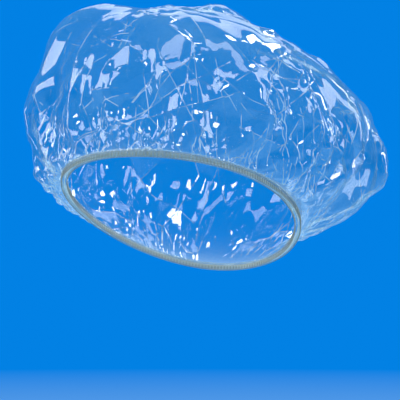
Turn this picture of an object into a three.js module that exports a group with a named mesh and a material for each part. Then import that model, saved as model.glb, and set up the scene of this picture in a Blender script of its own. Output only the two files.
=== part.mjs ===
// A clear disposable shower cap in the shape it has on a head: a puffed crown of thin film, gathered into a hem
// that is turned round a stretched elastic band and sewn with a three-thread overlock stitch.
// Millimetres, +Z up, the face side towards -Y, the origin at the centre of the head opening.
import * as THREE from "three";

// Head opening: the closed line that the hem follows
const openingHalfBreadth = 74;
const openingHalfLength = 93;
const openingTiltDegrees = 22; // the front sits higher than the nape
const openingArch = 3; // the sides ride up over the ears

// Crown: the widest line of the film, its top and how it leaves the hem
const crownHalfBreadth = 110;
const crownHalfLength = 118;
const crownSetLeft = 3;
const crownSetBack = 38;
const crownTop = 132;
const crownTopSetLeft = -12;
const crownTopSetBack = 16;
const bulgeHeight = 45;
const bulgeDrop = 20; // the widest line is this much lower at the back, and higher in front
const skirtReach = 20; // how far the film runs out as it leaves the hem, at the sides and the back
const skirtSag = 6; // how far it hangs there
const napeLift = 20; // how far it rises there instead, at the nape
const bulgeRoundness = 0.5; // shape of the curve below the widest line
const topRoundness = 0.55; // shape of the curve above it

// Main folds of the film, which fan out from the gathers
const foldCount = 16;
const foldDepth = 3;
const foldLean = 0.9; // how far the folds wander round the crown on their way up, in fold widths

// Film and hem
const filmWall = 0.4;
const hemHeight = 4.4;
const turnedEdgeHeight = 4; // the raw edge of the film, on the head's side

// Elastic band, a flat strip whose ends lap
const elasticWidth = 2.6;
const elasticThickness = 0.7;
const elasticLap = 14;

// Overlock stitch
const threadDiameter = 0.36;
const stitchPitch = 2.3;
const stitchDip = 0.12; // how far the needle thread sways at each stitch
const threadSides = 4;

// Gap between pieces that lie against each other
const seatGap = 0.35;

// Puffs of the crown, each a direction from the crown's middle, a width and a height
const puffs = [
  { turnDegrees: 20, liftDegrees: -8, spreadDegrees: 17, stands: 11 },
  { turnDegrees: 30, liftDegrees: -34, spreadDegrees: 17, stands: 12 },
  { turnDegrees: 20, liftDegrees: 44, spreadDegrees: 22, stands: -8 },
  { turnDegrees: 20, liftDegrees: 82, spreadDegrees: 16, stands: 9 },
  { turnDegrees: 62, liftDegrees: 22, spreadDegrees: 22, stands: 7 },
  { turnDegrees: 92, liftDegrees: -10, spreadDegrees: 22, stands: 8 },
  { turnDegrees: 112, liftDegrees: 36, spreadDegrees: 22, stands: 6 },
  { turnDegrees: 140, liftDegrees: -4, spreadDegrees: 20, stands: 7 },
  { turnDegrees: 166, liftDegrees: 28, spreadDegrees: 17, stands: 4 },
  { turnDegrees: 192, liftDegrees: -14, spreadDegrees: 14, stands: -3 },
  { turnDegrees: 198, liftDegrees: 14, spreadDegrees: 12, stands: 8 },
  { turnDegrees: 198, liftDegrees: 28, spreadDegrees: 9, stands: -6 },
  { turnDegrees: 198, liftDegrees: 40, spreadDegrees: 19, stands: 23 },
  { turnDegrees: 198, liftDegrees: 60, spreadDegrees: 12, stands: 4 },
  { turnDegrees: 200, liftDegrees: 72, spreadDegrees: 8, stands: -4 },
  { turnDegrees: 262, liftDegrees: 34, spreadDegrees: 22, stands: 7 },
  { turnDegrees: 310, liftDegrees: 26, spreadDegrees: 21, stands: 6 },
  { turnDegrees: 336, liftDegrees: 54, spreadDegrees: 18, stands: -3 },
];

const up = new THREE.Vector3(0, 0, 1);
const fullTurn = 2 * Math.PI;
const pointsPerFold = 3;
const sectors = foldCount * pointsPerFold;

// The channel that the hem makes holds both ends of the elastic where they lap.
const channelWidth = 2 * elasticThickness + 3 * seatGap;
const hemThickness = channelWidth + 2 * filmWall;

// Materials
const clearFilm = new THREE.MeshStandardMaterial({
  color: 0xeaf2f8,
  roughness: 0.12,
  metalness: 0,
  transparent: true,
  opacity: 0.3,
});
const paleElastic = new THREE.MeshStandardMaterial({ color: 0xc9cac8, roughness: 0.8, metalness: 0 });
const greyThread = new THREE.MeshStandardMaterial({ color: 0x8d9088, roughness: 0.7, metalness: 0 });

// A smooth step from 0 at low to 1 at high.
function ease(low, high, value) {
  return THREE.MathUtils.smoothstep(value, low, high);
}

// The middle of the hem's foot at an angle round the opening.
function openingPoint(angle) {
  const y = openingHalfLength * Math.sin(angle);
  const tilt = Math.tan(THREE.MathUtils.degToRad(openingTiltDegrees));
  return new THREE.Vector3(
    openingHalfBreadth * Math.cos(angle),
    y,
    openingArch * Math.cos(2 * angle) - tilt * y,
  );
}

// The level direction out of the opening, square to its line as seen from above.
function outwards(angle) {
  return new THREE.Vector3(
    openingHalfLength * Math.cos(angle),
    openingHalfBreadth * Math.sin(angle),
    0,
  ).normalize();
}

// A point of the hem: offset is outwards from the hem's middle and height is above its foot.
// The hem runs straight between the sectors of the film, and what is sewn to it follows the same chords.
function hemPoint(angle, offset, height) {
  const place = (angle / fullTurn) * sectors;
  const corner = (index) => {
    const at = (index / sectors) * fullTurn;
    return openingPoint(at).addScaledVector(outwards(at), offset).addScaledVector(up, height);
  };
  const low = Math.floor(place);
  return corner(low).lerp(corner(low + 1), place - low);
}

// How far the puffs stand out in a direction from the crown's middle.
function puffHeight(direction) {
  return puffs.reduce((sum, puff) => {
    const turn = THREE.MathUtils.degToRad(puff.turnDegrees);
    const lift = THREE.MathUtils.degToRad(puff.liftDegrees);
    const middle = new THREE.Vector3(
      Math.cos(lift) * Math.cos(turn),
      Math.cos(lift) * Math.sin(turn),
      Math.sin(lift),
    );
    const away = direction.angleTo(middle) / THREE.MathUtils.degToRad(puff.spreadDegrees);
    return sum + puff.stands * Math.exp(-away * away);
  }, 0);
}

// The outer face of the crown: climb runs from 0 at the hem, through 0.5 at the widest line, to 1 at the top.
function crownPoint(angle, climb) {
  const foot = hemPoint(angle, hemThickness / 2, hemHeight + seatGap);
  const backness = (1 + Math.sin(angle)) / 2;
  const free = ease(0, 0.45, backness);
  const widest = new THREE.Vector3(
    crownSetLeft + crownHalfBreadth * Math.cos(angle),
    crownSetBack + crownHalfLength * Math.sin(angle),
    bulgeHeight - bulgeDrop * Math.sin(angle),
  );
  const top = new THREE.Vector3(crownTopSetLeft, crownTopSetBack, crownTop);
  const lower = new THREE.CubicBezierCurve3(
    foot,
    foot
      .clone()
      .addScaledVector(outwards(angle), skirtReach * free)
      .addScaledVector(up, napeLift * ease(0.6, 0.95, backness) - skirtSag * free),
    widest.clone().addScaledVector(up, -bulgeRoundness * (widest.z - foot.z)),
    widest,
  );
  const overTop = widest.clone().lerp(top, 1 - topRoundness).setZ(top.z);
  const upper = new THREE.CubicBezierCurve3(
    widest,
    widest.clone().addScaledVector(up, topRoundness * (top.z - widest.z)),
    overTop,
    top,
  );
  const point = climb < 0.5 ? lower.getPoint(2 * climb) : upper.getPoint(2 * climb - 1);
  const middle = new THREE.Vector3(crownSetLeft, crownSetBack, bulgeHeight);
  const direction = point.clone().sub(middle).normalize();
  const fold = Math.cos(foldCount * angle + foldLean * fullTurn * climb);
  const folds = foldDepth * fold * ease(0, 0.25, climb) * (1 - ease(0.45, 0.95, climb));
  return point.addScaledVector(direction, puffHeight(direction) * ease(0, 0.4, climb) + folds);
}

// A closed body from rings of points, each joined to the next and the last to the first.
function bodyOfRings(rings) {
  const count = rings[0].length;
  const triangles = [];
  rings.forEach((_, ring) => {
    const here = ring * count;
    const above = ((ring + 1) % rings.length) * count;
    for (let i = 0; i < count; i += 1) {
      const next = (i + 1) % count;
      triangles.push(here + i, here + next, above + next, here + i, above + next, above + i);
    }
  });
  return geometryOf(rings.flat(), triangles);
}

// A mesh from its corners and the corner numbers of its triangles.
function geometryOf(corners, triangles) {
  const geometry = new THREE.BufferGeometry();
  const positions = corners.flatMap((corner) => corner.toArray());
  geometry.setAttribute("position", new THREE.Float32BufferAttribute(positions, 3));
  geometry.setIndex(triangles);
  return geometry;
}

// The triangles of a dome: rings of corners from the foot up, and one corner at the top.
function domeTriangles(ringCount, count) {
  const top = ringCount * count;
  const triangles = [];
  for (let ring = 0; ring < ringCount; ring += 1) {
    const here = ring * count;
    for (let i = 0; i < count; i += 1) {
      const next = (i + 1) % count;
      if (ring === ringCount - 1) {
        triangles.push([here + i, here + next, top]);
      } else {
        triangles.push([here + i, here + next, here + count + next]);
        triangles.push([here + i, here + count + next, here + count + i]);
      }
    }
  }
  return triangles;
}

// One ring of points, evenly spaced in angle.
function ringOf(place) {
  return Array.from({ length: sectors }, (_, index) => place((index / sectors) * fullTurn));
}

// The film of the crown, from its sewn line up: an outer face, the same face one wall behind it, and a rim.
function filmCrown() {
  const climbs = [0, 0.1, 0.21, 0.33, 0.44, 0.55, 0.66, 0.77, 0.89];
  const outer = climbs.flatMap((climb) => ringOf((angle) => crownPoint(angle, climb)));
  outer.push(crownPoint(0, 1));
  const dome = domeTriangles(climbs.length, sectors);
  const face = geometryOf(outer, dome.flat());
  face.computeVertexNormals();
  const normals = face.getAttribute("normal");
  const foot = ringOf((angle) => hemPoint(angle, hemThickness / 2 - filmWall, hemHeight + seatGap));
  const inner = outer.map((point, index) => {
    const normal = new THREE.Vector3().fromBufferAttribute(normals, index);
    return foot[index] ?? point.clone().addScaledVector(normal, -filmWall);
  });
  const inside = outer.length;
  const triangles = dome.flatMap(([a, b, c]) => [a, b, c, inside + a, inside + c, inside + b]);
  for (let i = 0; i < sectors; i += 1) {
    const next = (i + 1) % sectors;
    triangles.push(next, i, inside + i, next, inside + i, inside + next);
  }
  return geometryOf([...outer, ...inner], triangles);
}

// The film of the hem: down the outside of the elastic, under it, and up inside to the raw edge.
function filmHem() {
  const outside = hemThickness / 2;
  const channel = channelWidth / 2;
  const profile = [
    [outside, 0],
    [outside, hemHeight],
    [channel, hemHeight],
    [channel, filmWall],
    [-channel, filmWall],
    [-channel, turnedEdgeHeight],
    [-outside, turnedEdgeHeight],
    [-outside, 0],
  ];
  return bodyOfRings(profile.map(([offset, height]) => ringOf((angle) => hemPoint(angle, offset, height))));
}

// The elastic: one strip that starts against the inner wall of the channel at the nape and, a turn later,
// laps over its own beginning against the outer wall.
function elasticBand() {
  const nape = fullTurn / 4;
  const lapAngle = elasticLap / openingHalfBreadth;
  const steps = sectors + Math.ceil((lapAngle / fullTurn) * sectors);
  const drift = (elasticThickness + seatGap) / 2;
  const foot = filmWall + seatGap;
  const corners = [
    [0.5, 0],
    [0.5, 1],
    [-0.5, 1],
    [-0.5, 0],
  ];
  const sections = Array.from({ length: steps + 1 }, (_, index) => {
    const along = index / steps;
    const angle = nape - lapAngle / 2 + along * (fullTurn + lapAngle);
    const middle = drift * (2 * along - 1);
    return corners.map(([side, height]) =>
      hemPoint(angle, middle + side * elasticThickness, foot + height * elasticWidth),
    );
  });
  return stripOfSections(sections);
}

// A closed body along sections of equal corner count, with a flat end on the first and the last.
function stripOfSections(sections) {
  const corners = sections[0].length;
  const last = (sections.length - 1) * corners;
  const triangles = [];
  for (let section = 0; section < sections.length - 1; section += 1) {
    for (let i = 0; i < corners; i += 1) {
      const here = section * corners + i;
      const beside = section * corners + ((i + 1) % corners);
      triangles.push(here, here + corners, beside, beside, here + corners, beside + corners);
    }
  }
  for (let i = 1; i < corners - 1; i += 1) {
    triangles.push(0, i, i + 1, last, last + i + 1, last + i);
  }
  return geometryOf(sections.flat(), triangles);
}

// The stitches round the opening, an even number so that what alternates closes on itself.
function stitchCount() {
  const line = Array.from({ length: sectors + 1 }, (_, index) => hemPoint((index / sectors) * fullTurn, 0, 0));
  const length = line.slice(1).reduce((sum, point, index) => sum + point.distanceTo(line[index]), 0);
  return 2 * Math.round(length / stitchPitch / 2);
}

// A closed loop of thread through points: each ring of the tube lies in the plane that halves its corner.
function threadLoop(points) {
  const count = points.length;
  const rings = points.map((point, index) => {
    const before = point.clone().sub(points[(index + count - 1) % count]).normalize();
    const after = points[(index + 1) % count].clone().sub(point).normalize();
    const along = before.clone().add(after).normalize();
    const level = new THREE.Vector3(point.x, point.y, 0).normalize();
    const side = level.sub(along.clone().multiplyScalar(level.dot(along))).normalize();
    const across = along.clone().cross(side);
    const stretch = 1 / Math.max(along.dot(after), 0.5);
    return Array.from({ length: threadSides }, (_, corner) => {
      const turn = ((corner + 0.5) / threadSides) * fullTurn;
      return point
        .clone()
        .addScaledVector(side, (threadDiameter / 2) * Math.cos(turn))
        .addScaledVector(across, (threadDiameter / 2) * Math.sin(turn) * stretch);
    });
  });
  return bodyOfRings(rings);
}

// The needle thread: the row of stitches along the top of the hem.
function needleThread() {
  const stitches = stitchCount();
  const offset = hemThickness / 2 + seatGap + threadDiameter / 2 + stitchDip;
  const height = hemHeight - threadDiameter;
  return threadLoop(
    Array.from({ length: stitches }, (_, index) => {
      const dip = index % 2 ? -stitchDip : stitchDip;
      return hemPoint((index / stitches) * fullTurn, offset + dip, height);
    }),
  );
}

// A looper thread: one leg up or down the hem for each stitch, on the outside or on the head's side.
function looperThread(side, highest) {
  const stitches = stitchCount();
  const offset = side * (hemThickness / 2 + seatGap + threadDiameter / 2);
  const lowest = threadDiameter / 2;
  const points = [];
  for (let stitch = 0; stitch < stitches; stitch += 1) {
    const angle = (stitch / stitches) * fullTurn;
    const [first, second] = stitch % 2 ? [highest, lowest] : [lowest, highest];
    points.push(hemPoint(angle, offset, first), hemPoint(angle, offset, second));
  }
  return threadLoop(points);
}

// The two looper threads stop short of the needle thread and of the film's raw edge.
const upperLooperTop = hemHeight - 2 * threadDiameter - seatGap;
const lowerLooperTop = turnedEdgeHeight - threadDiameter / 2;

const pieces = [
  ["film_crown", filmCrown(), clearFilm],
  ["film_hem", filmHem(), clearFilm],
  ["elastic_band", elasticBand(), paleElastic],
  ["needle_thread", needleThread(), greyThread],
  ["upper_looper_thread", looperThread(1, upperLooperTop), greyThread],
  ["lower_looper_thread", looperThread(-1, lowerLooperTop), greyThread],
];

const showerCap = new THREE.Group();
for (const [name, geometry, material] of pieces) {
  const mesh = new THREE.Mesh(geometry, material);
  mesh.name = name;
  showerCap.add(mesh);
}

export default showerCap;
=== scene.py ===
"""Looks of a clear disposable shower cap: crumpled film, gathered hem, elastic and overlock seam."""

import logging
import math
from dataclasses import dataclass, field
from enum import Enum

import bmesh
import bpy
import numpy as np
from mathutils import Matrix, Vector

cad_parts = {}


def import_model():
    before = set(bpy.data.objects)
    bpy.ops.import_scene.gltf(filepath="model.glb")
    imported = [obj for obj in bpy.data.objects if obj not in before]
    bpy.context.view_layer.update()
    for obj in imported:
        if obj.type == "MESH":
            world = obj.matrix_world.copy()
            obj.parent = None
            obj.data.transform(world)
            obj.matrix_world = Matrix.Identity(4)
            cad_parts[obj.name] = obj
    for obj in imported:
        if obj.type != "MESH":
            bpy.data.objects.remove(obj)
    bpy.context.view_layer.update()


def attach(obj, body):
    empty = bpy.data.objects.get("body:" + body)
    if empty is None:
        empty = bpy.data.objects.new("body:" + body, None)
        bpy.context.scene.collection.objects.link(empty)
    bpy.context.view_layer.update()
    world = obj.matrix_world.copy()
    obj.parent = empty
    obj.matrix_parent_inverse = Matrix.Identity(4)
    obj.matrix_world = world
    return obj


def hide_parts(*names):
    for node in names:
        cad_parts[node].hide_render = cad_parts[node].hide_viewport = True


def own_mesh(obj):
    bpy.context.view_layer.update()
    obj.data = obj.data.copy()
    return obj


LOG = logging.getLogger("shower_cap")
MM = 0.001
FULL_TURN = 2.0 * math.pi
UP = np.array([0.0, 0.0, 1.0])
TINY = 1e-9
WELD_REACH = 1e-6


def linear(hex_colour: str) -> tuple[float, float, float, float]:
    """Turns an sRGB hex colour to linear light.

    Args:
        hex_colour: Six hex digits after a hash sign.

    Returns:
        Red, green, blue and an alpha of one.
    """
    parts = [int(hex_colour[i : i + 2], 16) / 255.0 for i in (1, 3, 5)]
    light = [c / 12.92 if c <= 0.04045 else ((c + 0.055) / 1.055) ** 2.4 for c in parts]
    return (light[0], light[1], light[2], 1.0)


def add_node(
    tree: bpy.types.NodeTree,
    kind: str,
    settings: dict[str | int, object] | None = None,
    **links: bpy.types.NodeSocket,
) -> bpy.types.Node:
    """Adds one shader node.

    Args:
        tree: The material's or world's node tree.
        kind: The node's type name.
        settings: Node properties by name, and input values by socket name or number.
        links: Output sockets by the input that they feed: its name with underscores for spaces, or
            an underscore and its number.

    Returns:
        The new node.
    """
    node = tree.nodes.new(kind)
    for name, value in (settings or {}).items():
        if isinstance(name, int) or name in node.inputs:
            node.inputs[name].default_value = value
        else:
            setattr(node, name, value)
    for name, source in links.items():
        key = int(name[1:]) if name[1:].isdigit() else name.replace("_", " ")
        tree.links.new(source, node.inputs[key])
    return node


def start_material(name: str) -> tuple[bpy.types.Material, bpy.types.NodeTree]:
    """Makes a material with no nodes.

    Args:
        name: What the real material is.

    Returns:
        The material and its node tree.
    """
    made = bpy.data.materials.new(name)
    made.use_nodes = True
    made.node_tree.nodes.clear()
    return made, made.node_tree


def ease(low: float, high: float, value: np.ndarray) -> np.ndarray:
    """A smooth step from 0 at low to 1 at high."""
    t = np.clip((value - low) / (high - low), 0.0, 1.0)
    return t * t * (3.0 - 2.0 * t)


def zigzag(phase: np.ndarray) -> np.ndarray:
    """A triangle wave between -1 and 1, one period for each unit of phase."""
    return 4.0 * np.abs(phase - np.floor(phase) - 0.5) - 1.0


def unit(vectors: np.ndarray) -> np.ndarray:
    """The same directions with a length of one."""
    return vectors / np.maximum(np.linalg.norm(vectors, axis=-1, keepdims=True), TINY)


def bezier(ends: tuple[np.ndarray, np.ndarray, np.ndarray, np.ndarray], t: np.ndarray) -> np.ndarray:
    """Points of cubic curves.

    Args:
        ends: First end, its handle, the second end's handle and the second end.
        t: The share of the way along, for each curve.

    Returns:
        One point for each curve.
    """
    t = t[..., None]
    s = 1.0 - t
    a, b, c, d = ends
    return s**3 * a + 3.0 * s * s * t * b + 3.0 * s * t * t * c + t**3 * d


@dataclass(frozen=True)
class HeadOpening:
    """The closed line of the opening, which the hem follows, in millimetres.

    The two counts of points are how finely the line is measured.
    """

    half_breadth: float = 74.0
    half_length: float = 93.0
    tilt_degrees: float = 22.0
    arch: float = 3.0
    fine_points: int = 4001
    plain_points: int = 2001

    def point(self, angle: np.ndarray) -> np.ndarray:
        """The middle of the hem's foot at each angle."""
        y = self.half_length * np.sin(angle)
        z = self.arch * np.cos(2.0 * angle) - math.tan(math.radians(self.tilt_degrees)) * y
        return np.stack([self.half_breadth * np.cos(angle), y, z], -1)

    def outwards(self, angle: np.ndarray) -> np.ndarray:
        """The level direction out of the opening at each angle."""
        x = self.half_length * np.cos(angle)
        y = self.half_breadth * np.sin(angle)
        return unit(np.stack([x, y, np.zeros_like(x)], -1))

    def hem_point(
        self, angle: np.ndarray, offset: np.ndarray | float, height: np.ndarray | float
    ) -> np.ndarray:
        """Points of the hem.

        Args:
            angle: Where round the opening.
            offset: How far outwards from the hem's middle.
            height: How far above its foot.

        Returns:
            The points.
        """
        offset = np.broadcast_to(offset, angle.shape)[..., None]
        height = np.broadcast_to(height, angle.shape)[..., None]
        return self.point(angle) + self.outwards(angle) * offset + UP * height

    def normal(self) -> Vector:
        """The direction square to the opening, upwards."""
        tilt = math.radians(self.tilt_degrees)
        return Vector((0.0, math.sin(tilt), math.cos(tilt)))

    def even_angles(self, count: int) -> np.ndarray:
        """Spaces angles evenly along the line itself.

        Args:
            count: How many angles go once round.

        Returns:
            The angles.
        """
        fine = np.linspace(0.0, FULL_TURN, self.fine_points)
        steps = np.linalg.norm(np.diff(self.point(fine), axis=0), axis=1)
        run = np.concatenate([[0.0], np.cumsum(steps)])
        return np.interp(np.arange(count) / count * run[-1], run, fine)

    def length(self) -> float:
        """The way once round."""
        line = self.point(np.linspace(0.0, FULL_TURN, self.plain_points))
        return float(np.linalg.norm(np.diff(line, axis=0), axis=1).sum())


@dataclass(frozen=True)
class HemSizes:
    """Sizes of the turned hem and what it holds, in millimetres."""

    height: float = 4.4
    turned_edge: float = 4.0
    film_wall: float = 0.4
    seat_gap: float = 0.35
    elastic_width: float = 2.6
    elastic_thickness: float = 0.7
    elastic_lap: float = 14.0
    thread_diameter: float = 0.36
    stitch_pitch: float = 2.3
    sewn_inset: float = 0.25

    def channel(self) -> float:
        """Width of the channel that holds both laps of the elastic."""
        return 2.0 * self.elastic_thickness + 3.0 * self.seat_gap

    def thickness(self) -> float:
        """The hem from its outer face to its inner face."""
        return self.channel() + 2.0 * self.film_wall


@dataclass(frozen=True)
class Puff:
    """One bulge or hollow of the crown: a direction from its middle, a width and a height."""

    turn_degrees: float
    lift_degrees: float
    spread_degrees: float
    stands: float


PUFFS = (
    Puff(20, -8, 17, 11),
    Puff(30, -34, 17, 12),
    Puff(20, 44, 22, -8),
    Puff(20, 82, 16, 9),
    Puff(62, 22, 22, 7),
    Puff(92, -10, 22, 8),
    Puff(112, 36, 22, 6),
    Puff(140, -4, 20, 7),
    Puff(166, 28, 17, 4),
    Puff(192, -14, 14, -3),
    Puff(198, 14, 12, 8),
    Puff(198, 28, 9, -6),
    Puff(198, 40, 19, 23),
    Puff(198, 60, 12, 4),
    Puff(200, 72, 8, -4),
    Puff(262, 34, 22, 7),
    Puff(310, 26, 21, 6),
    Puff(336, 54, 18, -3),
)


@dataclass(frozen=True)
class CrownShape:
    """The puffed shape of the crown before its creases, in millimetres.

    A backness is 0 at the front and 1 at the nape. Folds and puffs grow and fade between two climbs,
    where a climb is 0 at the hem and 1 at the top.
    """

    opening: HeadOpening
    hem: HemSizes
    half_breadth: float = 110.0
    half_length: float = 118.0
    set_left: float = 3.0
    set_back: float = 38.0
    top: float = 132.0
    top_set_left: float = -12.0
    top_set_back: float = 16.0
    bulge_height: float = 45.0
    bulge_drop: float = 20.0
    skirt_reach: float = 20.0
    skirt_sag: float = 6.0
    nape_lift: float = 20.0
    bulge_roundness: float = 0.5
    top_roundness: float = 0.55
    fold_count: int = 16
    fold_depth: float = 3.0
    fold_lean: float = 0.9
    free_backness: tuple[float, float] = (0.0, 0.45)
    nape_backness: tuple[float, float] = (0.6, 0.95)
    fold_grows: tuple[float, float] = (0.0, 0.25)
    fold_fades: tuple[float, float] = (0.45, 0.95)
    puff_grows: tuple[float, float] = (0.0, 0.4)

    def points(self, angle: np.ndarray, climb: np.ndarray) -> np.ndarray:
        """Points of the crown.

        Args:
            angle: Where round the crown.
            climb: 0 at the hem, 0.5 on the widest line and 1 at the top.

        Returns:
            The points.
        """
        foot = self.opening.hem_point(angle, self.hem.thickness() / 2.0, self.hem.height)
        out = self.opening.outwards(angle)
        backness = (1.0 + np.sin(angle)) / 2.0
        free = ease(*self.free_backness, backness)[..., None]
        nape = ease(*self.nape_backness, backness)[..., None]
        rise = self.nape_lift * nape - self.skirt_sag * free
        widest = np.stack(
            [
                self.set_left + self.half_breadth * np.cos(angle),
                self.set_back + self.half_length * np.sin(angle),
                self.bulge_height - self.bulge_drop * np.sin(angle),
            ],
            -1,
        )
        top = np.broadcast_to([self.top_set_left, self.top_set_back, self.top], widest.shape)
        below = UP * self.bulge_roundness * (widest - foot)[..., 2:]
        lower = (foot, foot + out * self.skirt_reach * free + UP * rise, widest - below, widest)
        above = UP * self.top_roundness * (top - widest)[..., 2:]
        over = widest + (top - widest) * (1.0 - self.top_roundness)
        over[..., 2] = self.top
        upper = (widest, widest + above, over, top)
        point = np.where(
            (climb < 0.5)[..., None],
            bezier(lower, np.clip(2.0 * climb, 0.0, 1.0)),
            bezier(upper, np.clip(2.0 * climb - 1.0, 0.0, 1.0)),
        )
        direction = unit(point - np.array([self.set_left, self.set_back, self.bulge_height]))
        fold = np.cos(self.fold_count * angle + self.fold_lean * FULL_TURN * climb)
        folds = self.fold_depth * fold * ease(*self.fold_grows, climb)
        folds *= 1.0 - ease(*self.fold_fades, climb)
        stands = self.puff_height(direction) * ease(*self.puff_grows, climb) + folds
        return point + direction * stands[..., None]

    def puff_height(self, direction: np.ndarray) -> np.ndarray:
        """Adds up the puffs.

        Args:
            direction: Directions from the crown's middle.

        Returns:
            How far the puffs stand out in each direction.
        """
        total = np.zeros(direction.shape[:-1])
        for puff in PUFFS:
            turn, lift, spread = np.radians([puff.turn_degrees, puff.lift_degrees, puff.spread_degrees])
            level = math.cos(lift)
            middle = np.array([level * math.cos(turn), level * math.sin(turn), math.sin(lift)])
            away = np.arccos(np.clip(direction @ middle, -1.0, 1.0)) / spread
            total += puff.stands * np.exp(-away * away)
        return total


class CreaseKind(Enum):
    """Where a crease of the film comes from."""

    LONG_FOLD = "a fold that runs up from the hem"
    CRUMPLE = "one of a crumpled patch"
    GATHER = "a short upright fold just above the hem"


@dataclass(frozen=True)
class CreaseSizes:
    """One kind of crease: its lean, the least and most of its sizes, and how many stand outwards.

    The lean is in radians, the length and the width of a facet are in millimetres, and the slope is a
    height for each unit of width.
    """

    lean: float
    length: tuple[float, float]
    width: tuple[float, float]
    slope: tuple[float, float]
    outward_share: float


CREASE_SIZES = {
    CreaseKind.LONG_FOLD: CreaseSizes(0.5, (35.0, 120.0), (4.0, 12.0), (0.12, 0.27), 0.6),
    CreaseKind.CRUMPLE: CreaseSizes(0.9, (12.0, 42.0), (3.5, 11.0), (0.14, 0.3), 0.6),
    CreaseKind.GATHER: CreaseSizes(0.14, (14.0, 46.0), (1.4, 3.6), (0.14, 0.3), 0.5),
}


class HemSide(Enum):
    """Which face of the hem a looper thread lies on."""

    OUTSIDE = 1
    HEAD = -1


@dataclass(frozen=True)
class ClearFilm:
    """Blown polyethylene film: glossy and clear where flat, with a painted highlight along its creases
    and, where gathered, milkier with a painted sheen.

    The patch in which the painted crease highlight is stronger, and the thickness shown, are in
    millimetres. The real film is 0.025 mm thick, too thin for a closed mesh.
    """

    # The film's white milkiness, tinted cyan as painted bounce light from the blue backdrop.
    haze_and_bounce_hex: str = "#EAF8F8"
    tint_hex: str = "#F9FBF9"
    gloss_roughness: float = 0.05
    haze_roughness: float = 0.4
    plain_haze: float = 0.002
    grazing_haze: float = 0.06
    # Milkiness of bunched film on gathers, with a painted sheen.
    gather_haze_and_sheen: float = 0.24
    # Painted highlight on the crease strips.
    crease_highlight: float = 0.58
    crease_patch: float = 12.0
    patch_range: tuple[float, float] = (0.4, 0.66)
    faint_share: float = 0.1
    forward_scatter: float = 0.4
    head_on_gloss: float = 0.04
    edge_gloss: float = 0.5
    gloss_power: float = 4.0
    rim_power: float = 6.0
    haze_ior: float = 1.5
    shown_thickness: float = 0.1

    def material(self) -> bpy.types.Material:
        """Makes the film's shader: see-through, with gloss by angle, a painted highlight on creases, and
        milkiness with a painted sheen on gathers.

        Returns:
            The material.
        """
        made, tree = start_material("clear_polyethylene_film")
        faint, full = self.patch_range
        place = add_node(tree, "ShaderNodeTexCoord")
        uneven = add_node(
            tree,
            "ShaderNodeTexNoise",
            {"Scale": 1.0 / (self.crease_patch * MM), "Detail": 2.0},
            Vector=place.outputs["Object"],
        )
        # Painted crease highlight, stronger in some patches than in others.
        glint_patches = add_node(
            tree,
            "ShaderNodeMapRange",
            {1: faint, 2: full, 3: self.faint_share * self.crease_highlight, 4: self.crease_highlight},
            Value=uneven.outputs["Fac"],
        )
        crease = add_node(tree, "ShaderNodeAttribute", {"attribute_name": "crease"})
        gather = add_node(tree, "ShaderNodeAttribute", {"attribute_name": "gather"})
        crease_glints = add_node(
            tree,
            "ShaderNodeMath",
            {"operation": "MULTIPLY"},
            _0=crease.outputs["Fac"],
            _1=glint_patches.outputs[0],
        )
        # Whiter on gathers, partly milkiness of bunched film and partly painted sheen, plus the painted
        # crease highlight.
        gather_and_crease_white = add_node(
            tree,
            "ShaderNodeMath",
            {"operation": "MULTIPLY_ADD", 1: self.gather_haze_and_sheen},
            _0=gather.outputs["Fac"],
            _2=crease_glints.outputs[0],
        )
        facing = add_node(tree, "ShaderNodeLayerWeight", {"Blend": 0.5}).outputs["Facing"]
        grazing = add_node(
            tree, "ShaderNodeMath", {"operation": "POWER", 1: self.gloss_power}, _0=facing
        )
        shine = add_node(
            tree,
            "ShaderNodeMapRange",
            {1: 0.0, 2: 1.0, 3: self.head_on_gloss, 4: self.edge_gloss},
            Value=grazing.outputs[0],
        )
        rim = add_node(tree, "ShaderNodeMath", {"operation": "POWER", 1: self.rim_power}, _0=facing)
        thickness = add_node(
            tree,
            "ShaderNodeMapRange",
            {1: 0.0, 2: 1.0, 3: self.plain_haze, 4: self.grazing_haze},
            Value=rim.outputs[0],
        )
        white_share = add_node(
            tree,
            "ShaderNodeMath",
            {"operation": "ADD", "use_clamp": True},
            _0=gather_and_crease_white.outputs[0],
            _1=thickness.outputs[0],
        )
        through = add_node(tree, "ShaderNodeBsdfTransparent", {"Color": linear(self.tint_hex)})
        milky = add_node(
            tree,
            "ShaderNodeBsdfPrincipled",
            {
                "Base Color": linear(self.haze_and_bounce_hex),
                "Roughness": self.haze_roughness,
                "IOR": self.haze_ior,
            },
        )
        glow = add_node(tree, "ShaderNodeBsdfTranslucent", {"Color": linear(self.haze_and_bounce_hex)})
        scatter = add_node(
            tree,
            "ShaderNodeMixShader",
            {0: self.forward_scatter},
            _1=milky.outputs[0],
            _2=glow.outputs[0],
        )
        gloss = add_node(
            tree, "ShaderNodeBsdfGlossy", {"Color": linear("#FFFFFF"), "Roughness": self.gloss_roughness}
        )
        body = add_node(
            tree, "ShaderNodeMixShader", _0=white_share.outputs[0], _1=through.outputs[0], _2=scatter.outputs[0]
        )
        surface = add_node(
            tree, "ShaderNodeMixShader", _0=shine.outputs[0], _1=body.outputs[0], _2=gloss.outputs[0]
        )
        add_node(tree, "ShaderNodeOutputMaterial", Surface=surface.outputs[0])
        return made


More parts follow.
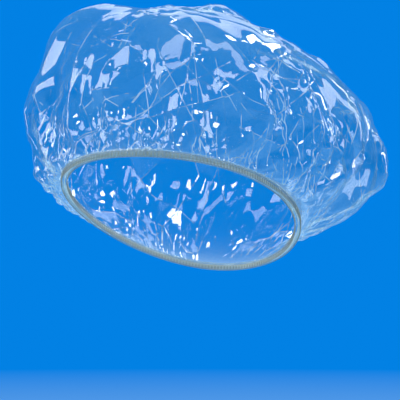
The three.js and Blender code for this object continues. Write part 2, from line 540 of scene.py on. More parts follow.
@dataclass(frozen=True)
class BraidedElastic:
    """Flat braided elastic: pale polyester yarns over rubber, matt, with grey painted shade in the
    grooves between them.

    The pitch of the weave and the depth of its grooves are in millimetres.
    """

    yarn_hex: str = "#F7F7F4"
    second_yarn_hex: str = "#ECEDE9"
    shade_hex: str = "#D0D2CD"
    weave_pitch: float = 1.1
    groove_share: float = 0.09
    groove_softness: float = 0.6
    groove_depth: float = 0.15
    groove_strength: float = 0.5
    roughness: float = 0.78
    sheen: float = 0.15

    def material(self) -> bpy.types.Material:
        """Makes the elastic's shader: a weave on its UV map, pale on the yarns and grey painted shade in
        the grooves between them.

        Returns:
            The material.
        """
        made, tree = start_material("braided_polyester_elastic")
        place = add_node(tree, "ShaderNodeUVMap", {"uv_map": "weave"})
        weave = add_node(
            tree,
            "ShaderNodeTexBrick",
            {
                "offset": 0.5,
                "Color1": linear(self.yarn_hex),
                "Color2": linear(self.second_yarn_hex),
                "Mortar": linear(self.shade_hex),
                # Painted shade: the mortar colour greys the grooves between the yarns.
                "Scale": 1.0,
                "Mortar Size": self.groove_share,
                "Mortar Smooth": self.groove_softness,
                "Brick Width": 1.0,
                "Row Height": 0.5,
            },
            Vector=place.outputs["UV"],
        )
        bump = add_node(
            tree,
            "ShaderNodeBump",
            {"Strength": self.groove_strength, "Distance": self.groove_depth * MM, "invert": True},
            Height=weave.outputs["Fac"],
        )
        shader = add_node(
            tree,
            "ShaderNodeBsdfPrincipled",
            {"Roughness": self.roughness, "Sheen Weight": self.sheen},
            Base_Color=weave.outputs["Color"],
            Normal=bump.outputs["Normal"],
        )
        add_node(tree, "ShaderNodeOutputMaterial", Surface=shader.outputs[0])
        return made


@dataclass(frozen=True)
class SpunThread:
    """Spun polyester sewing thread: matt olive grey, with a fuzzy, uneven surface.

    Its fibres are too fine to show, so they are drawn in bundles about 0.4 mm wide. The depth of the
    fuzz is in millimetres.
    """

    light_hex: str = "#A3A79A"
    dark_hex: str = "#74796D"
    bundles_per_millimetre: float = 2.6
    dark_below: float = 0.3
    light_above: float = 0.7
    fuzz_depth: float = 0.05
    fuzz_strength: float = 0.4
    roughness: float = 0.7
    sheen: float = 0.25

    def material(self) -> bpy.types.Material:
        """Makes the thread's shader: noise at the width of a fibre bundle, in colour and in bump.

        Returns:
            The material.
        """
        made, tree = start_material("spun_polyester_thread")
        place = add_node(tree, "ShaderNodeTexCoord")
        fibres = add_node(
            tree,
            "ShaderNodeTexNoise",
            {"Scale": self.bundles_per_millimetre / MM, "Detail": 2.0},
            Vector=place.outputs["Object"],
        )
        shades = add_node(tree, "ShaderNodeValToRGB", _0=fibres.outputs["Fac"])
        shades.color_ramp.elements[0].color = linear(self.dark_hex)
        shades.color_ramp.elements[0].position = self.dark_below
        shades.color_ramp.elements[1].color = linear(self.light_hex)
        shades.color_ramp.elements[1].position = self.light_above
        bump = add_node(
            tree,
            "ShaderNodeBump",
            {"Strength": self.fuzz_strength, "Distance": self.fuzz_depth * MM},
            Height=fibres.outputs["Fac"],
        )
        shader = add_node(
            tree,
            "ShaderNodeBsdfPrincipled",
            {"Roughness": self.roughness, "Sheen Weight": self.sheen},
            Base_Color=shades.outputs["Color"],
            Normal=bump.outputs["Normal"],
        )
        add_node(tree, "ShaderNodeOutputMaterial", Surface=shader.outputs[0])
        return made


def place_piece(name: str, mesh: bpy.types.Mesh, material: bpy.types.Material) -> bpy.types.Object:
    """Puts a finished mesh in the scene at the origin.

    Args:
        name: The piece's name.
        mesh: Its mesh, in metres, in place.
        material: Its finish.

    Returns:
        The new object.
    """
    mesh.materials.clear()
    mesh.materials.append(material)
    piece = bpy.data.objects.new(name, mesh)
    bpy.context.scene.collection.objects.link(piece)
    return piece


def shade_smooth(mesh: bpy.types.Mesh) -> None:
    """Shades all faces of a mesh smooth."""
    mesh.polygons.foreach_set("use_smooth", [True] * len(mesh.polygons))


def add_film_wall(film: bpy.types.Object, thickness: float, offset: float) -> None:
    """Gives a sheet of film its thickness.

    Args:
        film: The sheet.
        thickness: Its thickness in millimetres.
        offset: -1 to thicken it inwards, 0 for both ways.
    """
    wall = film.modifiers.new("film_wall", "SOLIDIFY")
    wall.thickness = thickness * MM
    wall.offset = offset


def set_points(mesh: bpy.types.Mesh, points: np.ndarray) -> None:
    """Moves a mesh's vertices to points given in millimetres."""
    mesh.vertices.foreach_set("co", (points * MM).astype(np.float32).ravel())
    mesh.update()


def read_points(mesh: bpy.types.Mesh) -> np.ndarray:
    """A mesh's vertices, in its own units."""
    flat = np.empty(len(mesh.vertices) * 3, np.float32)
    mesh.vertices.foreach_get("co", flat)
    return flat.reshape(-1, 3).astype(float)


def corner_points(film: bmesh.types.BMesh) -> np.ndarray:
    """The corners of a sheet of film, in millimetres."""
    return np.array([v.co for v in film.verts]) / MM


def corner_normals(film: bmesh.types.BMesh) -> np.ndarray:
    """The smooth outward direction at each corner of a sheet of film."""
    film.normal_update()
    return np.array([v.normal for v in film.verts])


def corner_runs(film: bmesh.types.BMesh) -> np.ndarray:
    """How far each corner of a sheet of film is up from the sewn line, in millimetres."""
    keep = film.verts.layers.float["run"]
    return np.array([v[keep] for v in film.verts])


def move_corners(film: bmesh.types.BMesh, points: np.ndarray) -> None:
    """Moves the corners of a sheet of film to points given in millimetres."""
    for vert, point in zip(film.verts, points * MM):
        vert.co = point


def strip_mesh(name: str, along: int, across: int) -> bpy.types.Mesh:
    """A flat strip of quads to be bent into place, with its share along and across as x and y.

    Args:
        name: The mesh's name.
        along: Number of quads along it.
        across: Number of quads across it.

    Returns:
        The mesh, from 0 to 1 in x and in y.
    """
    shape = bmesh.new()
    bmesh.ops.create_grid(shape, x_segments=along, y_segments=across, size=0.5)
    bmesh.ops.translate(shape, verts=shape.verts, vec=(0.5, 0.5, 0.0))
    mesh = bpy.data.meshes.new(name)
    shape.to_mesh(mesh)
    shape.free()
    return mesh


def weld(mesh: bpy.types.Mesh, reach: float, close_ends: bool = False) -> None:
    """Joins the corners of a mesh that lie on each other and turns its faces outwards.

    Args:
        mesh: The mesh to mend.
        reach: Corners nearer than this are one, in metres.
        close_ends: True to put a face over each open end.
    """
    shape = bmesh.new()
    shape.from_mesh(mesh)
    bmesh.ops.remove_doubles(shape, verts=shape.verts, dist=reach)
    if close_ends:
        bmesh.ops.holes_fill(shape, edges=[e for e in shape.edges if e.is_boundary], sides=0)
    bmesh.ops.recalc_face_normals(shape, faces=shape.faces)
    shape.to_mesh(mesh)
    shape.free()


@dataclass(frozen=True)
class GatherLevel:
    """One set of lobes between the folds that run up from the hem: how many, how deep and how far up."""

    count: int
    depth: float
    middle: float
    spread: float
    start: float


@dataclass(frozen=True)
class Gathers:
    """Lobes of film round the hem, fine at the sewn line, that merge into fewer, deeper ones higher up.

    Each sway is a width in lobes, its waves round the hem and its lag from one level to the next.
    """

    levels: tuple[GatherLevel, ...] = (
        GatherLevel(122, 1.1, 0.0, 8.0, 0.15),
        GatherLevel(66, 2.2, 10.0, 12.0, 0.62),
        GatherLevel(37, 3.2, 27.0, 20.0, 0.31),
        GatherLevel(22, 2.2, 55.0, 32.0, 0.83),
    )
    seed: int = 5
    lobe_heights: tuple[float, float] = (0.25, 1.0)
    valley: float = 0.4
    sways: tuple[tuple[float, float, float], ...] = ((0.8, 2.0, 9.0), (0.5, 5.0, 4.0))
    stray: tuple[float, float, float] = (0.35, 3.0, 6.0)
    stray_climb: float = 21.0

    def height(self, angle: np.ndarray, run: np.ndarray) -> np.ndarray:
        """How far the lobes stand out, rounded on top and sharp in the folds between them.

        Args:
            angle: Where round the hem.
            run: How far up from the sewn line, in millimetres.

        Returns:
            The height of the film at each place, in millimetres.
        """
        draw = np.random.default_rng(self.seed)
        total = np.zeros_like(angle)
        for level in self.levels:
            heights = draw.uniform(*self.lobe_heights, level.count)
            swing = sum(far * np.sin(waves * angle + lag * level.start) for far, waves, lag in self.sways)
            far, waves, lag = self.stray
            stray = far * np.sin(waves * angle + run / self.stray_climb + lag * level.start)
            phase = level.count * angle / FULL_TURN + swing + stray + level.start
            lobe = np.floor(phase).astype(int) % level.count
            window = np.exp(-(((run - level.middle) / level.spread) ** 2))
            bulge = heights[lobe] * np.abs(np.sin(math.pi * phase)) - self.valley
            total += level.depth * window * bulge
        return total


@dataclass(frozen=True)
class Crease:
    """One straight crease: a ridge that tapers to both ends, with a flat facet on each side.

    Only film within two reaches of the ridge line is cut: beside it, and inwards or outwards. Lengths
    are in millimetres.
    """

    middle: np.ndarray
    along: np.ndarray
    across: np.ndarray
    out: np.ndarray
    length: float
    left_width: float
    right_width: float
    height: float
    beside: float = 6.0
    through: float = 25.0
    taper: float = 2.5

    def touches(self, points: np.ndarray) -> np.ndarray:
        """Finds the places that the ridge line passes close by.

        Args:
            points: The places.

        Returns:
            True for each that is close.
        """
        away = points - self.middle
        inside = np.abs(away @ self.along) < self.length / 2.0
        beside = np.abs(away @ self.across) < self.beside
        return inside & beside & (np.abs(away @ self.out) < self.through)

    def rise(self, points: np.ndarray) -> np.ndarray:
        """Raises the film along the crease.

        Args:
            points: Places on the film.

        Returns:
            How far each is raised, in millimetres.
        """
        away = points - self.middle
        ends = 1.0 - np.abs(away @ self.along) * 2.0 / self.length
        side = away @ self.across
        near = np.abs(away @ self.out) < self.through
        sides = np.where(side > 0.0, 1.0 - side / self.right_width, 1.0 + side / self.left_width)
        return self.height * np.clip(np.minimum(self.taper * ends, sides), 0.0, 1.0) * near


@dataclass
class FilmCrown:
    """The crown: one sheet of film, puffed out over the hem, smooth between sharp straight creases.

    Lengths are in millimetres. A run is a way up the film from the sewn line.
    """

    shape: CrownShape
    gathers: Gathers
    finish: ClearFilm
    fineness: int = 7
    fine_share: float = 0.1
    skirt_share: float = 0.26
    meridian: float = 223.0
    long_creases: int = 115
    crease_clusters: int = 38
    creases_in_cluster: int = 5
    gather_creases: int = 150
    crease_seed: int = 11
    ridge_angle: float = math.radians(5.0)
    ridge_width: float = 0.22
    shortest_edge: float = 0.25
    collapse_keep: float = 0.4
    collapse_slide: float = 60.0
    tongue_least: float = 0.3
    tongue_more: float = 3.6
    tongue_inset: float = 0.2
    inset_run: tuple[float, float] = (-1.0, 0.0)
    free_run: tuple[float, float] = (0.0, 1.2)
    turn_run: tuple[float, float] = (2.0, 16.0)
    crease_run: tuple[float, float] = (2.0, 12.0)
    skirt_run: tuple[float, float] = (5.0, 24.0)
    open_run: float = 18.0
    gather_fade: float = 7.0
    cluster_reach: tuple[float, float] = (14.0, 30.0)
    rim_slack: float = 1e-5
    level_nudge: float = 1e-6

    def sheet(self) -> bmesh.types.BMesh:
        """Makes half a ball of small triangles, finer at its rim.

        Returns:
            The sheet, whose rim becomes the sewn line and whose pole becomes the top.
        """
        ball = bmesh.new()
        bmesh.ops.create_icosphere(ball, subdivisions=self.fineness, radius=1.0)
        low = [v for v in ball.verts if v.co.z < -self.rim_slack]
        bmesh.ops.delete(ball, geom=low, context="VERTS")
        edge_of_fine = math.sin(self.fine_share * math.pi / 2.0)
        rim = [e for e in ball.edges if max(v.co.z for v in e.verts) < edge_of_fine]
        bmesh.ops.subdivide_edges(ball, edges=rim, cuts=1, use_grid_fill=True)
        bmesh.ops.triangulate(ball, faces=ball.faces)
        return ball

    def climb(self, share: np.ndarray) -> np.ndarray:
        """The crown shape's climb for a share of the way up the sheet."""
        low = 0.5 * share / self.skirt_share
        high = 0.5 + 0.5 * (share - self.skirt_share) / (1.0 - self.skirt_share)
        return np.clip(np.where(share < self.skirt_share, low, high), 0.0, 1.0)

    def tongue(self, angle: np.ndarray) -> np.ndarray:
        """How far the film runs on inside the hem, so that no slit opens as the crown comes down."""
        return self.tongue_least + self.tongue_more * np.sin(angle) ** 2

    def puff(self, film: bmesh.types.BMesh) -> None:
        """Lays the sheet on the puffed shape with its gathers, and keeps each corner's run.

        Args:
            film: The sheet, as half a ball.
        """
        way = unit(np.array([v.co for v in film.verts]))
        angle = np.arctan2(way[:, 1], way[:, 0])
        share = np.arcsin(np.clip(way[:, 2], 0.0, 1.0)) / (math.pi / 2.0)
        tongue = self.tongue(angle)
        up = share * (self.meridian + tongue) - tongue
        run = np.maximum(up, 0.0)
        plain = self.shape.points(angle, self.climb(run / self.meridian))
        plain[:, 2] += up - run
        move_corners(film, plain)
        turn = ease(*self.turn_run, run)[:, None]
        away = unit(self.shape.opening.outwards(angle) * (1.0 - turn) + corner_normals(film) * turn)
        free = ease(*self.free_run, up)
        inset = self.shape.hem.sewn_inset + self.tongue_inset * (1.0 - ease(*self.inset_run, up))
        stand = self.gathers.height(angle, run) * free - inset * (1.0 - free)
        move_corners(film, plain + away * stand[:, None])
        keep = film.verts.layers.float.new("run")
        for vert, way_up in zip(film.verts, run):
            vert[keep] = way_up

    def crease_at(
        self, draw: np.random.Generator, kind: CreaseKind, middle: np.ndarray, out: np.ndarray
    ) -> Crease:
        """Draws one crease at a place on the film.

        Args:
            draw: The source of its random sizes.
            kind: Where it comes from.
            middle: Where it is.
            out: The film's outward direction there.

        Returns:
            The crease.
        """
        sizes = CREASE_SIZES[kind]
        level = unit(np.cross(UP, out) + self.level_nudge)
        turn = draw.normal(0.0, sizes.lean)
        along = math.cos(turn) * np.cross(out, level) + math.sin(turn) * level
        length = draw.uniform(*sizes.length)
        left, right = draw.uniform(*sizes.width, 2)
        height = draw.uniform(*sizes.slope) * min(left, right)
        if draw.uniform() > sizes.outward_share:
            height = -height
        return Crease(middle, along, np.cross(out, along), out, length, left, right, height)

    def creases(self, points: np.ndarray, normals: np.ndarray, run: np.ndarray) -> list[Crease]:
        """Draws all creases: long ones, patches of short ones, and upright ones above the hem.

        Args:
            points: The corners of the film.
            normals: Its outward direction at each.
            run: The run of each.

        Returns:
            The creases.
        """
        draw = np.random.default_rng(self.crease_seed)
        open_film = np.flatnonzero(run > self.open_run)
        low, high = self.skirt_run
        skirt = np.flatnonzero((run > low) & (run < high))
        made = []
        for spot in draw.choice(open_film, self.long_creases):
            made.append(self.crease_at(draw, CreaseKind.LONG_FOLD, points[spot], normals[spot]))
        for spot in draw.choice(open_film, self.crease_clusters):
            reach = draw.uniform(*self.cluster_reach)
            near = np.flatnonzero(np.linalg.norm(points - points[spot], axis=1) < reach)
            for other in draw.choice(near, self.creases_in_cluster):
                made.append(self.crease_at(draw, CreaseKind.CRUMPLE, points[other], normals[other]))
        for spot in draw.choice(skirt, self.gather_creases):
            made.append(self.crease_at(draw, CreaseKind.GATHER, points[spot], normals[spot]))
        return made

    def cut_ridges(self, film: bmesh.types.BMesh, creases: list[Crease]) -> None:
        """Cuts each crease's ridge line into the sheet and marks its edges.

        Args:
            film: The puffed sheet.
            creases: The creases to cut.
        """
        mark = film.edges.layers.int.new("ridge")
        faces = list(film.faces)
        centres = np.array([f.calc_center_median() for f in faces]) / MM
        for crease in creases:
            picked = [faces[i] for i in np.flatnonzero(crease.touches(centres))]
            if not picked:
                continue
            edges = {e for f in picked for e in f.edges}
            verts = {v for f in picked for v in f.verts}
            made = bmesh.ops.bisect_plane(
                film,
                geom=[*picked, *edges, *verts],
                dist=self.shortest_edge * MM,
                plane_co=Vector(crease.middle * MM),
                plane_no=Vector(crease.across),
            )
            for part in made["geom_cut"]:
                if isinstance(part, bmesh.types.BMEdge):
                    part[mark] = 1
            known = set(picked)
            fresh = [p for p in made["geom"] if isinstance(p, bmesh.types.BMFace) and p not in known]
            if fresh:
                faces += fresh
                added = np.array([f.calc_center_median() for f in fresh]) / MM
                centres = np.concatenate([centres, added])

    def crumple(self, film: bmesh.types.BMesh) -> None:
        """Raises the creases and rounds each ridge to a narrow strip.

        Args:
            film: The puffed sheet.
        """
        run = corner_runs(film)
        drawn = self.creases(corner_points(film), corner_normals(film), run)
        self.cut_ridges(film, drawn)
        points, normals, run = corner_points(film), corner_normals(film), corner_runs(film)
        height = sum(crease.rise(points) for crease in drawn) * ease(*self.crease_run, run)
        move_corners(film, points + normals * height[:, None])
        bmesh.ops.dissolve_degenerate(film, dist=self.shortest_edge * MM, edges=film.edges)
        bmesh.ops.triangulate(film, faces=[f for f in film.faces if len(f.verts) > 3])
        film.normal_update()
        white = film.faces.layers.float.new("crease")
        gathered = film.verts.layers.float.new("gather")
        mark = film.edges.layers.int["ridge"]
        marked = [e for e in film.edges if e[mark] and len(e.link_faces) == 2]
        sharp = [e for e in marked if e.calc_face_angle(0.0) > self.ridge_angle]
        strips = bmesh.ops.bevel(
            film,
            geom=sharp,
            offset=self.ridge_width * MM,
            offset_type="OFFSET",
            segments=1,
            profile=0.5,
            affect="EDGES",
            clamp_overlap=False,
            material=-1,
        )
        # The strips along sharp ridges carry the painted crease highlight.
        for face in strips["faces"]:
            face[white] = 1.0
        # Painted sheen, partly real milkiness of bunched film, fading up from the hem.
        keep = film.verts.layers.float["run"]
        for vert in film.verts:
            vert[gathered] = math.exp(-vert[keep] / self.gather_fade)

    def build(self) -> bpy.types.Object:
        """Makes the crown and puts it on its body.

        Returns:
            The film of the crown.
        """
        sheet = self.sheet()
        self.puff(sheet)
        self.crumple(sheet)
        made = bpy.data.meshes.new("crumpled_film_crown")
        sheet.to_mesh(made)
        sheet.free()
        shade_smooth(made)
        film = place_piece("crumpled_film_crown", made, self.finish.material())
        add_film_wall(film, self.finish.shown_thickness, -1.0)
        film.modifiers.new("flat_facets", "WEIGHTED_NORMAL")
        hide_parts("film_crown")
        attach(film, "crown")
        normal = self.shape.opening.normal()
        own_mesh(film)
        return film


@dataclass
class GatheredHem:
    """The film's edge: down outside the elastic, under it and up inside, puckered by the stitches.

    Lengths are in millimetres. A fade is the way along the film in which something dies out.
    """

    opening: HeadOpening
    sizes: HemSizes
    gathers: Gathers
    finish: ClearFilm
    columns: int = 1440
    rows: int = 16
    foot_round: float = 0.7
    sewn_fade: float = 0.6
    pleat_fade: float = 2.5
    pucker_depth: float = 0.16
    pucker_from: float = 0.05
    clear_share: float = 0.12
    haze_and_sheen_fade: float = 1.2

    def build(self) -> bpy.types.Object:
        """Makes the hem and puts it on its body.

        Returns:
            The film of the hem.
        """
        mesh = strip_mesh("gathered_film_hem", self.columns, self.rows)
        way = read_points(mesh)
        angle = way[:, 0] * FULL_TURN
        outside = self.sizes.thickness() / 2.0
        legs = np.array([self.sizes.height, 2.0 * outside, self.sizes.turned_edge])
        run = way[:, 1] * legs.sum()
        down = np.clip(run / legs[0], 0.0, 1.0)
        under = np.clip((run - legs[0]) / legs[1], 0.0, 1.0)
        inside = np.clip((run - legs[0] - legs[1]) / legs[2], 0.0, 1.0)
        facing = np.cos(under * math.pi)
        foot = self.foot_round
        height = legs[0] * (1.0 - down) + legs[2] * inside - foot * np.sin(under * math.pi) + foot
        sewn = np.exp(-run / self.sewn_fade)
        lobes = self.gathers.height(angle, np.zeros_like(angle))
        pleats = lobes * (np.exp(-run / self.pleat_fade) - sewn) - self.sizes.sewn_inset * sewn
        stitches = round(self.opening.length() / self.sizes.stitch_pitch)
        pucker = self.pucker_depth * zigzag(way[:, 0] * stitches) * (down > self.pucker_from)
        offset = outside * facing + facing * (pleats + pucker)
        set_points(mesh, self.opening.hem_point(angle, offset, height))
        mark = mesh.attributes.new("gather", "FLOAT", "POINT")
        # Whiter towards the hem's folded top edge: milkiness of bunched film plus painted sheen.
        shade = self.clear_share + (1.0 - self.clear_share) * np.exp(-run / self.haze_and_sheen_fade)
        mark.data.foreach_set("value", shade.astype(np.float32))
        weld(mesh, WELD_REACH)
        film = place_piece("gathered_film_hem", mesh, self.finish.material())
        add_film_wall(film, self.finish.shown_thickness, 0.0)
        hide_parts("film_hem")
        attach(film, "band")
        return film


@dataclass
class ElasticRing:
    """The elastic: one ribbed strip round the opening whose ends lap at the nape.

    Flatness and edge roundness are powers that square off its section, and the groove between two
    cords is a share of its thickness.
    """

    opening: HeadOpening
    sizes: HemSizes
    finish: BraidedElastic
    columns: int = 900
    around: int = 36
    cords: int = 5
    flatness: float = 0.22
    edge_roundness: float = 0.8
    groove: float = 0.18

    def build(self) -> bpy.types.Object:
        """Makes the elastic and puts it on its body.

        Returns:
            The elastic.
        """
        mesh = strip_mesh("braided_elastic", self.columns, self.around)
        way = read_points(mesh)
        lap = self.sizes.elastic_lap / self.opening.half_breadth
        angle = FULL_TURN / 4.0 - lap / 2.0 + way[:, 0] * (FULL_TURN + lap)
        drift = (self.sizes.elastic_thickness + self.sizes.seat_gap) / 2.0 * (2.0 * way[:, 0] - 1.0)
        turn = way[:, 1] * FULL_TURN
        half_width = self.sizes.elastic_width / 2.0
        side = np.sign(np.cos(turn)) * np.abs(np.cos(turn)) ** self.flatness
        rise = np.sign(np.sin(turn)) * np.abs(np.sin(turn)) ** self.edge_roundness
        cord = np.abs(np.cos(rise * math.pi * self.cords / 2.0))
        rib = 1.0 - self.groove + self.groove * cord
        offset = drift + side * rib * self.sizes.elastic_thickness / 2.0
        height = self.sizes.film_wall + self.sizes.seat_gap + half_width * (1.0 + rise)
        set_points(mesh, self.opening.hem_point(angle, offset, height))
        pitch = self.finish.weave_pitch
        places = mesh.uv_layers.new(name="weave").data
        corners = np.empty(len(mesh.loops), np.int32)
        mesh.loops.foreach_get("vertex_index", corners)
        along = way[corners, 0] * self.opening.length() / pitch
        across = way[corners, 1] * 2.0 * self.sizes.elastic_width / pitch
        places.foreach_set("uv", np.stack([along, across], -1).astype(np.float32).ravel())
        weld(mesh, WELD_REACH, close_ends=True)
        shade_smooth(mesh)
        band = place_piece("braided_elastic", mesh, self.finish.material())
        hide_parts("elastic_band")
        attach(band, "band")
        return band


@dataclass
class OverlockStitch:
    """The three threads of the overlock seam, one stitch after another round the hem.

    A drop is how far a thread's top is below the film's edge, in millimetres. A leg is its share of
    a stitch.
    """

    opening: HeadOpening
    sizes: HemSizes
    finish: SpunThread
    needle_drop: float = 0.7
    upper_drop: float = 1.2
    lower_drop: float = 0.4
    leg: float = 0.12
    places_in_stitch: int = 64

    def stitches(self) -> int:
        """How many stitches go round, an even number."""
        return 2 * round(self.opening.length() / self.sizes.stitch_pitch / 2.0)

    def lay(self, name: str, node: str, steps: np.ndarray) -> bpy.types.Object:
        """Repeats one stitch round the hem as a closed loop of thread.

        Args:
            name: The thread's name.
            node: The CAD node that it stands for.
            steps: The points of one stitch: share along it, offset and height in millimetres.

        Returns:
            The thread.
        """
        count = self.stitches()
        fine = self.opening.even_angles(count * self.places_in_stitch)
        share = (np.arange(count)[:, None] + steps[None, :, 0]).ravel() / count
        places = np.concatenate([fine, [FULL_TURN]])
        angle = np.interp(share % 1.0, np.linspace(0.0, 1.0, len(places)), places)
        offset, height = np.tile(steps[:, 1], count), np.tile(steps[:, 2], count)
        points = self.opening.hem_point(angle, offset, height) * MM
        line = bpy.data.curves.new(name, "CURVE")
        line.dimensions = "3D"
        line.bevel_depth = self.sizes.thread_diameter / 2.0 * MM
        line.bevel_resolution = 1
        line.resolution_u = 1
        path = line.splines.new("POLY")
        path.points.add(len(points) - 1)
        path.points.foreach_set("co", np.concatenate([points, np.ones((len(points), 1))], 1).ravel())
        path.use_cyclic_u = True
        carrier = bpy.data.objects.new(name, line)
        bpy.context.scene.collection.objects.link(carrier)
        bpy.context.view_layer.update()
        shown = carrier.evaluated_get(bpy.context.evaluated_depsgraph_get())
        mesh = bpy.data.meshes.new_from_object(shown)
        bpy.data.objects.remove(carrier)
        mesh.name = name
        shade_smooth(mesh)
        thread = place_piece(name, mesh, self.finish.material())
        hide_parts(node)
        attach(thread, "band")
        return thread

    def needle(self) -> bpy.types.Object:
        """Lays the needle thread: a bar from each needle hole to the next along the top of the hem.

        Returns:
            The thread.
        """
        face = self.sizes.thickness() / 2.0
        height = self.sizes.height - self.needle_drop
        # Share along the stitch, and how far off the film.
        steps = [(0.0, 0.05), (0.1, 0.32), (0.3, 0.42), (0.7, 0.42), (0.9, 0.32)]
        return self.lay(
            "needle_thread_row",
            "needle_thread",
            np.array([(along, face + out, height) for along, out in steps]),
        )

    def looper(self, side: HemSide) -> bpy.types.Object:
        """Lays a looper thread: a narrow pair of legs at each stitch, linked along the hem's foot.

        Args:
            side: The face of the hem that it lies on.

        Returns:
            The thread.
        """
        face = self.sizes.thickness() / 2.0
        if side is HemSide.OUTSIDE:
            top = self.sizes.height - self.upper_drop
        else:
            top = self.sizes.turned_edge - self.lower_drop
        leg = self.leg
        # Share along the stitch, how far off the film, and height above the foot.
        steps = [
            (0.5 - 2.6 * leg, 0.10, 0.15),
            (0.5 - 1.3 * leg, 0.34, 0.45),
            (0.5 - leg, 0.38, 0.5 * top),
            (0.5 - 0.9 * leg, 0.36, top - 0.3),
            (0.5, 0.34, top),
            (0.5 + 0.9 * leg, 0.36, top - 0.3),
            (0.5 + leg, 0.38, 0.5 * top),
            (0.5 + 1.3 * leg, 0.34, 0.45),
            (0.5 + 2.6 * leg, 0.10, 0.15),
        ]
        names = {
            HemSide.OUTSIDE: ("upper_looper_row", "upper_looper_thread"),
            HemSide.HEAD: ("lower_looper_row", "lower_looper_thread"),
        }
        name, node = names[side]
        points = np.array([(along, side.value * (face + out), height) for along, out, height in steps])
        return self.lay(name, node, points)


@dataclass(frozen=True)
class Softbox:
    """One studio lamp: where it stands as seen from the cap, its size and its brightness."""

    name: str
    azimuth_degrees: float
    elevation_degrees: float
    distance: float
    width: float
    height: float
    radiance: float


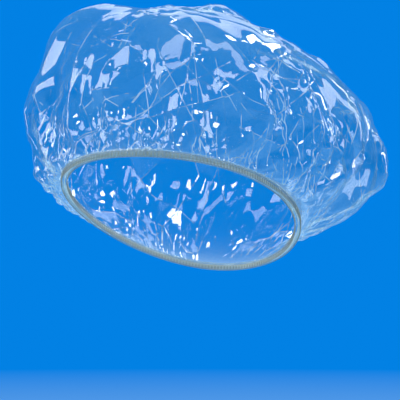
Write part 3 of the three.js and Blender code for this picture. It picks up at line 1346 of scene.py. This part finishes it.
@dataclass
class Studio:
    """The camera at the photograph's angle, the lamps, the even light of the room and a pale floor.

    Lengths are in metres. The aim is how far the camera looks to the right of and above the origin.
    """

    azimuth_degrees: float = 17.9
    distance: float = 1.5
    aim_right: float = 0.0117
    aim_up: float = 0.0081
    pixels_per_metre: float = 1534.0
    frame_pixels: float = 400.0
    sensor_width: float = 36.0
    far_end: float = 50.0
    backdrop_hex: str = "#0281E4"
    floor_hex: str = "#8CC4F3"
    floor_level: float = -0.32
    floor_radius: float = 7.0
    floor_glow: float = 0.75
    floor_fade: tuple[float, float] = (0.6, 3.0)
    room_hex: str = "#F2F5F8"
    room_light: float = 0.48
    lamps: tuple[Softbox, ...] = (
        Softbox("left_panel", -75.0, 24.0, 1.9, 0.8, 1.3, 4.4),
        Softbox("front_panel", -30.0, 48.0, 1.9, 0.9, 0.7, 4.4),
        Softbox("overhead_panel", 60.0, 78.0, 1.9, 1.0, 0.8, 2.8),
        Softbox("right_panel", 100.0, 26.0, 1.9, 0.6, 1.3, 4.4),
        Softbox("right_strip", 142.0, 14.0, 1.7, 0.1, 1.2, 10.0),
        Softbox("back_panel", 190.0, 35.0, 1.9, 1.3, 0.6, 1.2),
        Softbox("left_spot", -28.0, 26.0, 1.5, 0.22, 0.3, 16.0),
        Softbox("right_spot", 72.0, 20.0, 1.5, 0.2, 0.3, 14.0),
        Softbox("back_spot", 165.0, 55.0, 1.5, 0.3, 0.25, 14.0),
    )
    middle: Vector = field(default_factory=lambda: Vector((0.0, 0.03, 0.05)))

    def back(self, azimuth_degrees: float, elevation_degrees: float) -> Vector:
        """The direction from the cap to a viewer or lamp."""
        a, e = math.radians(azimuth_degrees), math.radians(elevation_degrees)
        return Vector((math.sin(a) * math.cos(e), -math.cos(a) * math.cos(e), math.sin(e)))

    def build_camera(self) -> None:
        """Places the camera at the photograph's angle."""
        data = bpy.data.cameras.new("camera")
        camera = bpy.data.objects.new("camera", data)
        bpy.context.scene.collection.objects.link(camera)
        back = self.back(self.azimuth_degrees, 0.0)
        right = Vector((-back.y, back.x, 0.0))
        camera.location = back * self.distance + right * self.aim_right + Vector((0.0, 0.0, self.aim_up))
        camera.rotation_euler = (-back).to_track_quat("-Z", "Y").to_euler()
        data.sensor_width = self.sensor_width
        data.lens = self.sensor_width * self.pixels_per_metre * self.distance / self.frame_pixels
        data.clip_end = self.far_end
        bpy.context.scene.camera = camera

    def build_lamps(self) -> None:
        """Places the softboxes, each facing the cap."""
        for lamp in self.lamps:
            data = bpy.data.lights.new(lamp.name, "AREA")
            data.shape = "RECTANGLE"
            data.size = lamp.width
            data.size_y = lamp.height
            data.energy = lamp.radiance * math.pi * lamp.width * lamp.height
            box = bpy.data.objects.new(lamp.name, data)
            box.visible_camera = False
            bpy.context.scene.collection.objects.link(box)
            way = self.back(lamp.azimuth_degrees, lamp.elevation_degrees)
            box.location = self.middle + way * lamp.distance
            box.rotation_euler = (-way).to_track_quat("-Z", "Y").to_euler()

    def build_world(self) -> None:
        """Gives the room an even light, and shows the blue backdrop to the eye and in the film."""
        world = bpy.data.worlds.new("studio_world")
        bpy.context.scene.world = world
        world.use_nodes = True
        tree = world.node_tree
        tree.nodes.clear()
        path = add_node(tree, "ShaderNodeLightPath")
        seen = path.outputs["Is Camera Ray"]
        for name in ("Is Glossy Ray", "Is Transmission Ray"):
            seen = add_node(
                tree, "ShaderNodeMath", {"operation": "MAXIMUM"}, _0=seen, _1=path.outputs[name]
            ).outputs[0]
        light = add_node(
            tree,
            "ShaderNodeBackground",
            {"Color": linear(self.room_hex), "Strength": self.room_light},
        )
        shown = add_node(
            tree,
            "ShaderNodeBackground",
            {"Color": linear(self.backdrop_hex), "Strength": 1.0},
        )
        both = add_node(tree, "ShaderNodeMixShader", _0=seen, _1=light.outputs[0], _2=shown.outputs[0])
        add_node(tree, "ShaderNodeOutputWorld", Surface=both.outputs[0])

    def paper(self) -> bpy.types.Material:
        """Makes pale blue studio paper: matt, and turning to the backdrop's blue with distance.

        Returns:
            The material.
        """
        made, tree = start_material("pale_blue_paper")
        place = add_node(tree, "ShaderNodeTexCoord")
        way = add_node(tree, "ShaderNodeVectorMath", {"operation": "LENGTH"}, _0=place.outputs["Object"])
        near, far = self.floor_fade
        fade = add_node(tree, "ShaderNodeMapRange", {1: near, 2: far}, Value=way.outputs["Value"])
        shade = add_node(tree, "ShaderNodeValToRGB", Fac=fade.outputs[0])
        shade.color_ramp.elements[0].color = linear(self.floor_hex)
        shade.color_ramp.elements[1].color = linear(self.backdrop_hex)
        level = add_node(
            tree,
            "ShaderNodeMapRange",
            {1: near, 2: far, 3: self.floor_glow, 4: 1.0},
            Value=way.outputs["Value"],
        )
        path = add_node(tree, "ShaderNodeLightPath")
        share = add_node(
            tree,
            "ShaderNodeMath",
            {"operation": "MULTIPLY"},
            _0=path.outputs["Is Camera Ray"],
            _1=level.outputs[0],
        )
        matt = add_node(
            tree,
            "ShaderNodeBsdfPrincipled",
            {"Roughness": 0.9, "Specular IOR Level": 0.1},
            Base_Color=shade.outputs["Color"],
        )
        glow = add_node(tree, "ShaderNodeEmission", {"Strength": 1.0}, Color=shade.outputs["Color"])
        both = add_node(
            tree, "ShaderNodeMixShader", _0=share.outputs[0], _1=matt.outputs[0], _2=glow.outputs[0]
        )
        add_node(tree, "ShaderNodeOutputMaterial", Surface=both.outputs[0])
        return made

    def build_floor(self) -> None:
        """Makes the pale floor, wide enough for a view from any side."""
        disc = bmesh.new()
        bmesh.ops.create_circle(disc, cap_ends=True, segments=96, radius=self.floor_radius)
        bmesh.ops.translate(disc, verts=disc.verts, vec=(0.0, 0.0, self.floor_level))
        mesh = bpy.data.meshes.new("paper_floor")
        disc.to_mesh(mesh)
        disc.free()
        place_piece("paper_floor", mesh, self.paper())

    def build(self) -> None:
        """Builds the whole studio and sets the view to plain colours."""
        self.build_camera()
        self.build_lamps()
        self.build_world()
        self.build_floor()
        scene = bpy.context.scene
        scene.view_settings.view_transform = "Standard"
        scene.cycles.transparent_max_bounces = 64


def main() -> None:
    """Builds the cap and its studio."""
    logging.basicConfig(level=logging.INFO)
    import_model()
    Studio().build()
    opening = HeadOpening()
    sizes = HemSizes()
    film = ClearFilm()
    gathers = Gathers()
    crown = FilmCrown(CrownShape(opening, sizes), gathers, film).build()
    LOG.info("film crown: %d faces", len(crown.data.polygons))
    hem = GatheredHem(opening, sizes, gathers, film).build()
    LOG.info("film hem: %d faces", len(hem.data.polygons))
    band = ElasticRing(opening, sizes, BraidedElastic()).build()
    LOG.info("elastic: %d faces", len(band.data.polygons))
    stitch = OverlockStitch(opening, sizes, SpunThread())
    for thread in (stitch.needle(), stitch.looper(HemSide.OUTSIDE), stitch.looper(HemSide.HEAD)):
        LOG.info("%s: %d faces", thread.name, len(thread.data.polygons))
    # The film is cut as a flat disc, and its edge is turned for the hem.
    turned = (sizes.height + sizes.thickness() + sizes.turned_edge) * MM


if __name__ == "__main__":
    main()
